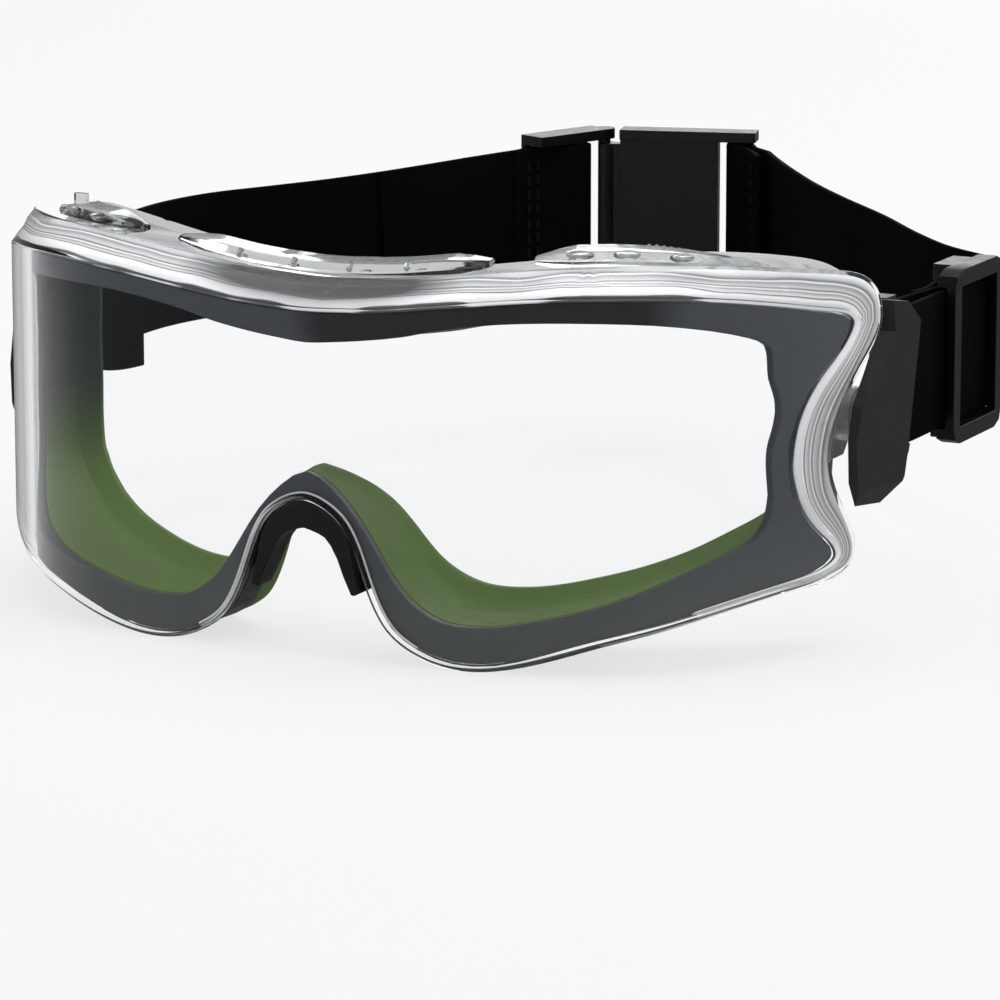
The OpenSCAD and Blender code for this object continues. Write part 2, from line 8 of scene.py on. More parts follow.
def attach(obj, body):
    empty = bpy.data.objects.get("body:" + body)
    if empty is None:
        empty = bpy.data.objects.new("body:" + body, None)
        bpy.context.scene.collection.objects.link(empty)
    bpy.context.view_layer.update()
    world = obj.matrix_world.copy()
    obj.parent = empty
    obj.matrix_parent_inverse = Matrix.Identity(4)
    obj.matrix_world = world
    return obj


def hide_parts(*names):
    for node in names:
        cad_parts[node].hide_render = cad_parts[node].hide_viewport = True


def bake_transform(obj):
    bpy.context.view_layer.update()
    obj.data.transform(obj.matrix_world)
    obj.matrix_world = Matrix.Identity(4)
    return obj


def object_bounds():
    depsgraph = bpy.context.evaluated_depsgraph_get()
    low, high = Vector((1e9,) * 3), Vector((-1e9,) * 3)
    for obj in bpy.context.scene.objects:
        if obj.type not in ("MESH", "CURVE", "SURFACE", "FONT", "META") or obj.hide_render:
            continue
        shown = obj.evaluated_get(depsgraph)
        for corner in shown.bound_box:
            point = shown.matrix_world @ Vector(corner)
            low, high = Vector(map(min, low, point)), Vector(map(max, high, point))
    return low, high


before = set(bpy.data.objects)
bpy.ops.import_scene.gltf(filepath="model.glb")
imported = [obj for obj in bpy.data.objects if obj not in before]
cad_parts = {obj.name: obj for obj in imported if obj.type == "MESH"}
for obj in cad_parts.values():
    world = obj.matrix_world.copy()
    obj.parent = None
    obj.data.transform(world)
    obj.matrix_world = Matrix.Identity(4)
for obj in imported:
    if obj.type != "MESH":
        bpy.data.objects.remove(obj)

cad_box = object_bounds()

# The camera stands in front of the goggles, towards the wearer's left and a little above
# them. It is far off with a long lens, as the photograph was taken.
camera = bpy.data.objects.new("camera", bpy.data.cameras.new("camera"))
camera.data.lens = 202.7
camera.data.sensor_width = 36
camera.data.clip_start = 0.05
camera_place = Matrix.Translation((0.4528, -0.8791, 0.1999))
camera_right = Vector((0.8988, 0.4384, 0)).normalized()
camera_up = Vector((-0.0911, 0.1869, 0.9781)).normalized()
camera.matrix_world = camera_place @ Matrix(
    (camera_right, camera_up, camera_right.cross(camera_up))).transposed().to_4x4()
bpy.context.scene.collection.objects.link(camera)
bpy.context.scene.camera = camera

# Light of a small photo studio: an even room, a large soft box overhead, a wide one behind
# and a smaller one on each side. The room is white where it is seen directly or through
# the lens, and dim in reflections, so that dark plastic stays dark.
white_room = (0.92, 0.92, 0.92, 1)
dim_room = (0.22, 0.22, 0.23, 1)
lamp_aim = Vector((0, 0.05, 0))


def add_node(tree, kind, values=None, **settings):
    """A new shader node, with its own settings and the values of its input sockets."""
    node = tree.nodes.new("ShaderNode" + kind)
    for name, setting in settings.items():
        setattr(node, name, setting)
    for socket, value in (values or {}).items():
        node.inputs[socket].default_value = value
    return node


def link(tree, *pairs):
    """Joins the output socket to the input socket in each pair."""
    for output_socket, input_socket in pairs:
        tree.links.new(output_socket, input_socket)


world = bpy.data.worlds.new("studio")
bpy.context.scene.world = world
world.use_nodes = True
tree = world.node_tree
tree.nodes.clear()
path = add_node(tree, "LightPath")
seen = add_node(tree, "Math", operation="MAXIMUM")
light = add_node(tree, "Background", {"Color": (0.52, 0.52, 0.53, 1)})
dim = add_node(tree, "Background", {"Color": dim_room})
white = add_node(tree, "Background", {"Color": white_room})
indirect = add_node(tree, "MixShader")
room = add_node(tree, "MixShader")
surface = add_node(tree, "OutputWorld")
link(tree,
     (path.outputs["Is Camera Ray"], seen.inputs[0]),
     (path.outputs["Is Transmission Ray"], seen.inputs[1]),
     (path.outputs["Is Glossy Ray"], indirect.inputs["Fac"]),
     (light.outputs[0], indirect.inputs[1]),
     (dim.outputs[0], indirect.inputs[2]),
     (seen.outputs[0], room.inputs["Fac"]),
     (indirect.outputs[0], room.inputs[1]),
     (white.outputs[0], room.inputs[2]),
     (room.outputs[0], surface.inputs["Surface"]))
for name, spot, size, power in (("overhead", (0.1, 0.25, 1.2), (1.1, 1.1), 10),
                                ("behind", (0.1, 1.6, 0.5), (2.0, 0.6), 9),
                                ("left_box", (-1.2, -0.5, 0.5), (0.4, 0.9), 2.2),
                                ("right_box", (1.25, -0.1, 0.55), (0.4, 0.9), 2.2)):
    lamp = bpy.data.objects.new(name, bpy.data.lights.new(name, "AREA"))
    lamp.data.shape = "RECTANGLE"
    lamp.data.size, lamp.data.size_y = size
    lamp.data.energy = power
    turned = (Vector(spot) - lamp_aim).to_track_quat("Z", "Y").to_matrix().to_4x4()
    lamp.matrix_world = Matrix.Translation(spot) @ turned
    bpy.context.scene.collection.objects.link(lamp)

# A pale floor under the goggles. It shows the room's white and keeps a faint shadow. It is
# dim in reflections, as the room is.
floor_half = 4
floor_gap = 0.0002
glow_share = 0.75
bm = bmesh.new()
bmesh.ops.create_grid(bm, x_segments=1, y_segments=1, size=floor_half)
bmesh.ops.translate(bm, verts=bm.verts, vec=(0, 0, cad_box[0][2] - floor_gap))
floor_mesh = bpy.data.meshes.new("floor")
bm.to_mesh(floor_mesh)
bm.free()
floor = bpy.data.objects.new("floor", floor_mesh)
bpy.context.scene.collection.objects.link(floor)
floor_paint = bpy.data.materials.new("floor_paint")
floor_paint.use_nodes = True
tree = floor_paint.node_tree
tree.nodes.clear()
path = add_node(tree, "LightPath")
seen = add_node(tree, "Math", operation="MAXIMUM")
share = add_node(tree, "Math", {1: glow_share}, operation="MULTIPLY")
mirrored = add_node(tree, "Math", operation="SUBTRACT", use_clamp=True)
matt = add_node(tree, "BsdfDiffuse", {"Color": (0.8, 0.8, 0.8, 1)})
dim = add_node(tree, "Emission", {"Color": dim_room})
white = add_node(tree, "Emission", {"Color": white_room, "Strength": 1.04})
indirect = add_node(tree, "MixShader")
paint = add_node(tree, "MixShader")
surface = add_node(tree, "OutputMaterial")
link(tree,
     (path.outputs["Is Camera Ray"], seen.inputs[0]),
     (path.outputs["Is Transmission Ray"], seen.inputs[1]),
     (seen.outputs[0], share.inputs[0]),
     (path.outputs["Is Glossy Ray"], mirrored.inputs[0]),
     (seen.outputs[0], mirrored.inputs[1]),
     (mirrored.outputs[0], indirect.inputs["Fac"]),
     (matt.outputs[0], indirect.inputs[1]),
     (dim.outputs[0], indirect.inputs[2]),
     (share.outputs[0], paint.inputs["Fac"]),
     (indirect.outputs[0], paint.inputs[1]),
     (white.outputs[0], paint.inputs[2]),
     (paint.outputs[0], surface.inputs["Surface"]))
floor_mesh.materials.append(floor_paint)


# Front carrier: one moulded frame of dark slate plastic behind the lens, round both eyes.
# The lens is welded to its rim and the face seal is moulded to its back. A painted dark
# reflection makes it black over the wearer's left eye, and it is a little paler low down.
def cad_copy(node):
    """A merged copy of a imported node, its triangles joined into four-sided faces."""
    bm = bmesh.new()
    bm.from_mesh(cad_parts[node].data)
    bmesh.ops.remove_doubles(bm, verts=bm.verts, dist=2e-6)
    bmesh.ops.join_triangles(bm, faces=bm.faces, angle_face_threshold=radians(60),
                             angle_shape_threshold=radians(150))
    return bm


def add_piece(bm, name, body, finish, nodes=(), sharp=40, bevel=0, steps=2, smooth=0):
    """A piece from a mesh: edges past sharp degrees stay crisp, and bevel is in metres."""
    for f in bm.faces:
        f.smooth = True
    for e in bm.edges:
        e.smooth = not (e.is_manifold and e.calc_face_angle(0) > radians(sharp))
    mesh = bpy.data.meshes.new(name)
    bm.to_mesh(mesh)
    bm.free()
    obj = bpy.data.objects.new(name, mesh)
    bpy.context.scene.collection.objects.link(obj)
    mesh.materials.append(finish)
    if bevel:
        rounded = obj.modifiers.new("bevel", "BEVEL")
        rounded.width, rounded.segments = bevel, steps
        rounded.limit_method, rounded.angle_limit = "ANGLE", radians(30)
        rounded.harden_normals = True
    if smooth:
        softened = obj.modifiers.new("smooth", "SUBSURF")
        softened.levels = softened.render_levels = smooth
    if body:
        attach(obj, body)
    if nodes:
        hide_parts(*nodes)
    return obj


def shader_of(finish):
    return finish.node_tree.nodes["Principled BSDF"]


def new_finish(name, colour, rough, **more):
    """A material of one colour, with any other sockets of its shader by name."""
    finish = bpy.data.materials.new(name)
    finish.use_nodes = True
    shader = shader_of(finish)
    shader.inputs["Base Color"].default_value = (*colour, 1)
    shader.inputs["Roughness"].default_value = rough
    for socket, value in more.items():
        shader.inputs[socket.replace("_", " ")].default_value = value
    return finish


def add_grain(finish, scale, rough, bump=0):
    """Fine grain: the roughness wanders between two values, and bump raises the grain."""
    tree, shader = finish.node_tree, shader_of(finish)
    place = add_node(tree, "TexCoord")
    noise = add_node(tree, "TexNoise", {"Scale": scale, "Detail": 3})
    span = add_node(tree, "MapRange", {"From Min": 0.3, "From Max": 0.7,
                                       "To Min": rough[0], "To Max": rough[1]})
    link(tree,
         (place.outputs["Object"], noise.inputs["Vector"]),
         (noise.outputs[0], span.inputs["Value"]),
         (span.outputs["Result"], shader.inputs["Roughness"]))
    if bump:
        rise = add_node(tree, "Bump", {"Strength": bump, "Distance": 0.00002})
        link(tree,
             (noise.outputs[0], rise.inputs["Height"]),
             (rise.outputs[0], shader.inputs["Normal"]))


def two_tones(tree, start, end):
    """A ramp between two tones, each a position and a colour."""
    ramp = add_node(tree, "ValToRGB")
    for stop, (position, colour) in zip(ramp.color_ramp.elements, (start, end)):
        stop.position = position
        stop.color = (*colour, 1)
    return ramp


def patch(tree, place, location, scale):
    """A value that is 1 in the middle of an egg-shaped patch and 0 from its rim outwards."""
    middle = add_node(tree, "Mapping", {"Location": location, "Scale": scale})
    fade = add_node(tree, "TexGradient", gradient_type="SPHERICAL")
    link(tree,
         (place.outputs["Object"], middle.inputs["Vector"]),
         (middle.outputs[0], fade.inputs["Vector"]))
    return fade.outputs["Fac"]


slate = new_finish("slate_plastic", (0.055, 0.062, 0.072), 0.4, Specular_IOR_Level=0.15)
add_grain(slate, 260, (0.3, 0.42))
tree = slate.node_tree
place = add_node(tree, "TexCoord")
# Painted dark reflection: this patch turns the slate black over the wearer's left eye.
painted_dark_reflection = patch(tree, place, (-0.86, 0, -1), (27.8, 0, 33))
tones = two_tones(tree, (0.05, (0.052, 0.059, 0.069)), (0.2, (0.011, 0.011, 0.0105)))
axes = add_node(tree, "SeparateXYZ")
low = add_node(tree, "MapRange", {"From Min": -0.006, "From Max": -0.022})
paler = add_node(tree, "Mix", {"B": (0.075, 0.082, 0.08, 1)}, data_type="RGBA")
link(tree,
     (painted_dark_reflection, tones.inputs["Fac"]),
     (place.outputs["Object"], axes.inputs[0]),
     (axes.outputs["Z"], low.inputs["Value"]),
     (low.outputs["Result"], paler.inputs["Factor"]),
     (tones.outputs["Color"], paler.inputs["A"]),
     (paler.outputs["Result"], shader_of(slate).inputs["Base Color"]))
add_piece(cad_copy("front_carrier"), "carrier", "eyepiece", slate, ["front_carrier"],
          bevel=0.0004)

# Outer shell: a thin wall from the carrier back to the face, moulded in pale translucent
# plastic and coated black under the nose. Its top has flow streaks from the moulding, and
# painted shade darkens its front edge in the middle, under the middle vent.
black_below, black_within = -0.004, 0.05
ink = new_finish("ink_plastic", (0.011, 0.012, 0.013), 0.35)
add_grain(ink, 420, (0.3, 0.5), bump=0.15)
frost = new_finish("frosted_shell", (0.62, 0.64, 0.66), 0.3, Transmission_Weight=0.4, IOR=1.5)
add_grain(frost, 300, (0.25, 0.4))
tree = frost.node_tree
place = add_node(tree, "TexCoord")
# Painted shade: a dark patch at the middle of the front edge, under the middle vent.
vent_shade_on_shell = patch(tree, place, (0, 3.2, -4.4), (28, 140, 140))
tones = two_tones(tree, (0.02, (1, 1, 1)), (0.3, (0.09, 0.095, 0.095)))
drawn_out = add_node(tree, "Mapping", {"Scale": (7, 420, 7)})
flow = add_node(tree, "TexNoise", {"Scale": 1, "Detail": 1})
streaks = two_tones(tree, (0.38, (0.46, 0.48, 0.5)), (0.62, (0.86, 0.87, 0.88)))
shade = add_node(tree, "Mix", {"Factor": 1}, data_type="RGBA", blend_type="MULTIPLY")
link(tree,
     (vent_shade_on_shell, tones.inputs["Fac"]),
     (place.outputs["Object"], drawn_out.inputs["Vector"]),
     (drawn_out.outputs[0], flow.inputs["Vector"]),
     (flow.outputs[0], streaks.inputs["Fac"]),
     (streaks.outputs["Color"], shade.inputs["A"]),
     (tones.outputs["Color"], shade.inputs["B"]),
     (shade.outputs["Result"], shader_of(frost).inputs["Base Color"]))
shell = cad_copy("body_shell")
for f in shell.faces:
    c = f.calc_center_median()
    f.material_index = 1 if c.z < black_below and abs(c.x) < black_within else 0
shell = add_piece(shell, "shell", "eyepiece", frost, ["body_shell"], bevel=0.0003)
shell.data.materials.append(ink)

# Face seal: green elastomer moulded on the carrier. A skirt slopes back from the openings
# to a crease, and a soft lip turns out from there to lie on the face. Painted shade darkens
# it high up at the temples, and a painted highlight makes it pale along its top.
crease_angle, crease_hold = radians(22), 0.75
moss = new_finish("moss_elastomer", (0.115, 0.19, 0.045), 0.5, Specular_IOR_Level=0.15,
                  Subsurface_Weight=0.25, Subsurface_Radius=(0.002, 0.003, 0.001))
add_grain(moss, 340, (0.45, 0.6))
tree = moss.node_tree
place = add_node(tree, "TexCoord")
axes = add_node(tree, "SeparateXYZ")
from_middle = add_node(tree, "Math", operation="ABSOLUTE")
# Painted shade: the seal is darker high up at the temples.
side = add_node(tree, "MapRange", {"From Min": 0.058, "From Max": 0.067})
high = add_node(tree, "MapRange", {"From Min": -0.012, "From Max": 0.004})
temple_shade_mask = add_node(tree, "Math", operation="MULTIPLY")
shaded_temples = add_node(tree, "Mix", {"A": (0.118, 0.185, 0.052, 1), "B": (0.03, 0.042, 0.042, 1)},
                  data_type="RGBA")
# Painted highlight: a pale band along the seal's top.
top = add_node(tree, "MapRange", {"From Min": 0.0305, "From Max": 0.032})
painted_top_highlight = add_node(tree, "Mix", {"B": (0.4, 0.42, 0.4, 1)}, data_type="RGBA")
link(tree,
     (place.outputs["Object"], axes.inputs[0]),
     (axes.outputs["X"], from_middle.inputs[0]),
     (from_middle.outputs[0], side.inputs["Value"]),
     (axes.outputs["Z"], high.inputs["Value"]),
     (side.outputs["Result"], temple_shade_mask.inputs[0]),
     (high.outputs["Result"], temple_shade_mask.inputs[1]),
     (temple_shade_mask.outputs[0], shaded_temples.inputs["Factor"]),
     (axes.outputs["Z"], top.inputs["Value"]),
     (top.outputs["Result"], painted_top_highlight.inputs["Factor"]),
     (shaded_temples.outputs["Result"], painted_top_highlight.inputs["A"]),
     (painted_top_highlight.outputs["Result"], shader_of(moss).inputs["Base Color"]))
seal = cad_copy("face_seal")
fold = seal.edges.layers.float.new("crease_edge")
for e in seal.edges:
    if e.is_manifold and e.calc_face_angle(0) > crease_angle:
        e[fold] = crease_hold
add_piece(seal, "seal", "eyepiece", moss, ["face_seal"], smooth=2)

# Nose bridge: a soft black pad under the arch of the lens. It is pressed over the shell's
# edge, its edges are rounded where it meets the nose, and its legs lean in.
leg_top, leg_height, leg_lean = -0.007, 0.012, 0.13
soft_black = new_finish("soft_black_elastomer", (0.012, 0.012, 0.012), 0.5, Specular_IOR_Level=0.2)
add_grain(soft_black, 300, (0.4, 0.6), bump=0.05)
bridge = cad_copy("nose_bridge")
for v in bridge.verts:
    v.co.x *= 1 - leg_lean * min(1, max(0, (leg_top - v.co.z) / leg_height))
add_piece(bridge, "bridge", "eyepiece", soft_black, ["nose_bridge"],
          bevel=0.0007, steps=3)

# Lens: one clear wraparound moulding. Its rim rolls back into a thick flange that stands
# out round the carrier. The light and dark streaks in the flange are painted highlights and
# painted reflections on a thin strip just inside its inner wall, with painted shade under the
# middle vent.
front_middle_y, lens_wall = -30, 2.2  # in mm, as the arcs and the depths behind the front
front_arcs = ((300, 42), (38, 28), (134, 60))  # radius and length, middle to end
bend = []  # centre, radius and angle where each arc ends
x, y, turn = 0, front_middle_y, 0
for radius, length in front_arcs:
    centre = (x - radius * sin(turn), y + radius * cos(turn))
    turn += length / radius
    x, y = centre[0] + radius * sin(turn), centre[1] - radius * cos(turn)
    bend.append((centre, radius, turn))
widest_share = 0.99  # keeps the last arc from turning past its side
wall_slack, rim_slack = 0.00003, 0.0009  # on a wall: before and after the smoothing
strip_gap, strip_t = 0.0001, 0.0003
waves, wave_cuts, wave_rise = 2, 7, 0.00014
slice_w, slices = 0.0019, 46  # the slices are counted from the middle to one end
slope_step = 0.002


def front_y(x, depth):
    """Where the lens lies across x metres, depth mm behind its front."""
    x = abs(x) * 1000
    for arc in bend:
        centre, radius, end = arc
        share = (x - centre[0]) / (radius - depth)
        if share <= sin(end) or arc is bend[-1]:
            return (centre[1] - (radius - depth) * (1 - min(share, widest_share) ** 2) ** 0.5) / 1000


def off_wall(v, depth):
    """How far a point lies from the lens's front, or from a wall depth mm behind it."""
    return abs(v.co.y - front_y(v.co.x, depth))


def next_to(points):
    return {e.other_vert(v) for v in points for e in v.link_edges}


def streaks_show(f):
    """True on top of the flange, at its ends and at the nose arch."""
    c = f.calc_center_median()
    return c.z > 0.003 or abs(c.x) > 0.066 or abs(c.x) < 0.022


clear = new_finish("clear_lens", (0.975, 0.985, 0.99), 0.01, IOR=1.5,
                   Transmission_Weight=1.0, Specular_Tint=(0.15, 0.15, 0.17, 1))
# Painted highlights and painted reflections: light and dark lines that stand in for the light in the clear
# flange.
painted_streaks = new_finish("painted_flange_streaks", (0.6, 0.61, 0.63), 0.2, Specular_IOR_Level=0.7)
add_grain(painted_streaks, 200, (0.12, 0.3))
tree = painted_streaks.node_tree
place = add_node(tree, "TexCoord")
sway = add_node(tree, "TexNoise", {"Scale": 48, "Detail": 1.5})
back = add_node(tree, "Attribute", attribute_name="reach")
swayed = add_node(tree, "Math", {1: 0.5}, operation="MULTIPLY_ADD")
evened = add_node(tree, "Math", {1: 0.25}, operation="SUBTRACT")
lines = add_node(tree, "ValToRGB")
for at, grey in ((0.03, 1), (0.24, 1), (0.28, 0.06), (0.31, 0.8), (0.4, 0.35), (0.46, 0.95),
                 (0.5, 0.12), (0.56, 0.65), (0.7, 0.3), (0.75, 0.9), (0.79, 0.14), (0.88, 0.55)):
    lines.color_ramp.elements.new(at).color = (grey, grey, grey * 1.02, 1)
lines.color_ramp.elements[0].color = (0.08, 0.085, 0.09, 1)
lines.color_ramp.elements[-1].color = (0.75, 0.76, 0.78, 1)
# Painted shade: the strip is dark under the middle vent.
vent_shade_on_flange = patch(tree, place, (0, 3.0, -4.4), (32, 140, 140))
deep = add_node(tree, "MapRange", {"From Min": 0.02, "From Max": 0.35})
shade = add_node(tree, "Mix", {"B": (0.05, 0.053, 0.055, 1)}, data_type="RGBA")
link(tree,
     (place.outputs["Object"], sway.inputs["Vector"]),
     (sway.outputs[0], swayed.inputs[0]),
     (back.outputs["Fac"], swayed.inputs[2]),
     (swayed.outputs[0], evened.inputs[0]),
     (evened.outputs[0], lines.inputs["Fac"]),
     (vent_shade_on_flange, deep.inputs["Value"]),
     (deep.outputs["Result"], shade.inputs["Factor"]),
     (lines.outputs["Color"], shade.inputs["A"]),
     (shade.outputs["Result"], shader_of(painted_streaks).inputs["Base Color"]))

# The two large faces come off, which leaves the rim: outer wall, rear edge and inner wall.
lens = cad_copy("lens")
ridge = lens.verts.layers.float.new("ridge")
reach = lens.verts.layers.float.new("reach")
for depth in (0, lens_wall):
    on_wall = {v for v in lens.verts if off_wall(v, depth) < wall_slack}
    bmesh.ops.delete(lens, geom=[f for f in lens.faces if on_wall.issuperset(f.verts)],
                     context="FACES")
open_points = {v for e in lens.edges if e.is_boundary for v in e.verts}
front_rim = {v for v in open_points if off_wall(v, 0) < wall_slack}
outer_front = next_to(front_rim) - front_rim
outer_rear = next_to(outer_front) - front_rim - outer_front
inner_rear = next_to(outer_rear) - outer_front - outer_rear
inner_wall = (open_points - front_rim) | inner_rear
for v in outer_rear:
    v[ridge] = 1
for v in inner_rear:
    v[reach] = 1

# The strip of painted streaks is a copy of the inner wall, set a little way into the glass.
lens.faces.index_update()
painted_streak_faces = {f.index for f in lens.faces if inner_wall.issuperset(f.verts) and streaks_show(f)}
strip = lens.copy()
bmesh.ops.delete(strip, geom=[f for f in strip.faces if f.index not in painted_streak_faces], context="FACES")
strip.normal_update()
for v in strip.verts:
    v.co -= v.normal * strip_gap
strip = add_piece(strip, "painted_streak_strip", "eyepiece", painted_streaks, sharp=60, smooth=2)
thick = strip.modifiers.new("thick", "SOLIDIFY")
thick.thickness, thick.offset = strip_t, 1

# Shallow waves run along the outer wall. The rim is smoothed before the faces are closed.
across = [e for e in lens.edges if outer_front & set(e.verts) and outer_rear & set(e.verts)]
fine = bmesh.ops.subdivide_edges(lens, edges=across, cuts=wave_cuts)
lens.normal_update()
for v in fine["geom_inner"]:
    if isinstance(v, bmesh.types.BMVert):
        v.co += v.normal * wave_rise * sin(v[ridge] * waves * 2 * pi)
rim_mesh = bpy.data.meshes.new("lens_rim")
lens.to_mesh(rim_mesh)
lens.free()
rim = bpy.data.objects.new("lens_rim", rim_mesh)
bpy.context.scene.collection.objects.link(rim)
softened = rim.modifiers.new("smooth", "SUBSURF")
softened.levels = softened.render_levels = 2
lens = bmesh.new()
lens.from_mesh(rim.evaluated_get(bpy.context.evaluated_depsgraph_get()).to_mesh())
bpy.data.objects.remove(rim)

# Each face is one sheet over its hole, cut into upright slices that are set on the arcs.
open_edges = [e for e in lens.edges if e.is_boundary]
pane_points = []
for depth in (0, lens_wall):
    hole = [e for e in open_edges if off_wall(e.verts[0], depth) < rim_slack]
    pane = bmesh.ops.contextual_create(lens, geom=hole)["faces"]
    for k in range(-slices, slices + 1):
        parts = [g for f in pane for g in (*f.edges, *f.verts)]
        cut = bmesh.ops.bisect_plane(lens, geom=pane + list(dict.fromkeys(parts)), dist=1e-7,
                                     plane_co=(slice_w * k, 0, 0), plane_no=(1, 0, 0))
        pane = [g for g in cut["geom"] if isinstance(g, bmesh.types.BMFace)]
    for v in dict.fromkeys(v for f in pane for v in f.verts):
        v.co.y = front_y(v.co.x, depth)
        pane_points.append((v, depth))

# The glass shades by the arcs, so that reflections run smoothly over the slices.
lens.normal_update()
lens.verts.index_update()
true_normals = [Vector((0, 0, 0))] * len(lens.verts)
for v, depth in pane_points:
    rise = front_y(v.co.x + slope_step, depth) - front_y(v.co.x - slope_step, depth)
    forward = Vector((rise / (2 * slope_step), -1, 0)).normalized()
    true_normals[v.index] = forward if depth == 0 else -forward
lens = add_piece(lens, "lens_glass", "eyepiece", clear, ["lens"], sharp=180)
lens.data.normals_split_custom_set_from_vertices(true_normals)
lens.visible_shadow = False

# Vent covers: three clear bars over the slots on top of the shell, each standing on posts
# that clip into it. The middle one has ribs, and the side ones have raised ovals and a row
# of teeth. Their ends taper down to the lens's flange.
rib_size = (0.0007, 0.0016, 0.0011)
oval_size = (0.0024, 0.0009, 0.0006)
tooth_size = (0.0005, 0.0012, 0.0008)
tab_size = (0.0026, 0.001, 0.0026)
rib_depth, oval_depth, tooth_depth, tab_depth = 8.5, 8.6, 15, 13  # mm behind the front
rib_places = (-0.0165, -0.0055, 0.0055, 0.0165)
oval_places = (0.0475, 0.0545, 0.0615)
first_tooth, tooth_gap, teeth = 0.0545, 0.0009, 14
tab_place, tab_rise = -0.0655, 0.001
above_all = 0.08
clear_bar = new_finish("clear_cover", (0.64, 0.665, 0.655), 0.04, IOR=1.5, Transmission_Weight=1.0)
add_grain(clear_bar, 500, (0.02, 0.12), bump=0.1)


def on_top(hull, x, depth):
    """Where a straight drop meets a cover, and the way the surface faces there."""
    return hull.ray_cast(Vector((x, front_y(x, depth), above_all)), Vector((0, 0, -1)))[:2]


def laid(place, normal, x, size):
    """The place of a small form on a cover: long along the bar and tall out of it."""
    step, depth = 0.0005, 9
    along = Vector((2 * step, front_y(x + step, depth) - front_y(x - step, depth), 0)).normalized()
    out = (normal - along * normal.dot(along)).normalized()
    turned = Matrix((along, out.cross(along), out)).transposed().to_4x4()
    return Matrix.Translation(place) @ turned @ Matrix.Diagonal((*size, 1))


for name in ("vent_cover_center", "vent_cover_left", "vent_cover_right"):
    bar = cad_copy(name)
    hull = BVHTree.FromBMesh(bar)
    side = -1 if name == "vent_cover_right" else 1
    if name == "vent_cover_center":
        for x in rib_places:
            place, normal = on_top(hull, x, rib_depth)
            bmesh.ops.create_cube(bar, size=1, matrix=laid(place, normal, x, rib_size))
    else:
        for x in oval_places:
            place, normal = on_top(hull, x * side, oval_depth)
            bmesh.ops.create_uvsphere(bar, u_segments=18, v_segments=10, radius=1,
                                      matrix=laid(place, normal, x * side, oval_size))
        for k in range(teeth):
            x = (first_tooth + tooth_gap * k) * side
            place, normal = on_top(hull, x, tooth_depth)
            if place:
                bmesh.ops.create_cube(bar, size=1, matrix=laid(place, normal, x, tooth_size))
    if name == "vent_cover_right":
        place = on_top(hull, tab_place, tab_depth)[0] + Vector((0, 0, tab_rise))
        bmesh.ops.create_cube(bar, size=1, matrix=Matrix.Translation(place)
                              @ Matrix.Diagonal((*tab_size, 1)))
    cover = add_piece(bar, name.replace("vent_cover", "cover"), "eyepiece", clear_bar, [name],
                      bevel=0.0003)
    cover.visible_shadow = False

# Side brackets, pivot pins and washers stay as the CAD has them: frosted plastic arms,
# steel pins and pale nylon washers, hidden behind the clips for the most part.
steel = new_finish("pin_steel", (0.5, 0.5, 0.5), 0.3, Metallic=1.0)
add_grain(steel, 900, (0.2, 0.4))
nylon = new_finish("washer_nylon", (0.35, 0.35, 0.33), 0.4)
add_grain(nylon, 500, (0.35, 0.5), bump=0.1)
for side in ("left", "right"):
    for node, finish in (("side_bracket_", frost), ("pivot_pin_", steel), ("pivot_washer_", nylon)):
        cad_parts[node + side].material_slots[0].material = finish

# Strap clips: black shields with flat facets and narrow light edges. Each turns on its
# pin and holds the strap's loop on a bar under its rear edge.
clip_black = new_finish("clip_plastic", (0.02, 0.02, 0.02), 0.42, Specular_IOR_Level=0.25)
add_grain(clip_black, 700, (0.35, 0.48), bump=0.05)
for side in ("left", "right"):
    add_piece(cad_copy("strap_clip_" + side), "clip_" + side, "harness", clip_black,
              ["strap_clip_" + side], sharp=25, bevel=0.0003)

# Webbing: black elastic, 25 mm wide and 1.3 mm thick, woven with fine ribs. Each length is
# one flat band that stands on edge along its route. The routes are in mm.
strap_w, strap_t = 0.025, 0.0013
strap_z, rear_z = 13.5, 17.3  # the strap's middle at the clips and at the buckle
clip_bar, slider_bar, hook = (83.7, 33.5), (82.75, 66), (-36.5, 173.6)
round_bar, round_slider = 2.2, 1.75  # from a bar's middle to the webbing's, round it
wrap_steps = 14
plate_reach, ring_reach = 28.5, 7.6  # from the hook to the bars that the strap is sewn on
plate_turn, ring_turn, bar_turn = 15.7, -112, 34
webbing_black = new_finish("webbing_elastic", (0.002, 0.002, 0.0021), 0.8, Specular_IOR_Level=0.03)
tree = webbing_black.node_tree
weave = add_node(tree, "UVMap", uv_map="weave")
ribs = add_node(tree, "TexWave", {"Scale": 260, "Distortion": 0.6}, bands_direction="X")
picks = add_node(tree, "TexWave", {"Scale": 180, "Distortion": 0.4}, bands_direction="Y")
cross = add_node(tree, "Math", operation="MULTIPLY")
rise = add_node(tree, "Bump", {"Strength": 0.5, "Distance": 0.00015})
link(tree,
     (weave.outputs[0], ribs.inputs["Vector"]),
     (weave.outputs[0], picks.inputs["Vector"]),
     (ribs.outputs["Fac"], cross.inputs[0]),
     (picks.outputs["Fac"], cross.inputs[1]),
     (cross.outputs[0], rise.inputs["Height"]),
     (rise.outputs[0], shader_of(webbing_black).inputs["Normal"]))


def spline(points, steps):
    """Points on a smooth curve through the given ones."""
    found = []
    last = len(points) - 1
    for i in range(last):
        a, b, c, d = (Vector(points[j]) for j in (max(i - 1, 0), i, i + 1, min(i + 2, last)))
        for k in range(steps):
            t = k / steps
            found.append(0.5 * (2 * b + (c - a) * t + (2 * a - 5 * b + 4 * c - d) * t * t
                                + (3 * b - a - 3 * c + d) * t ** 3))
    return found + [Vector(points[-1])]


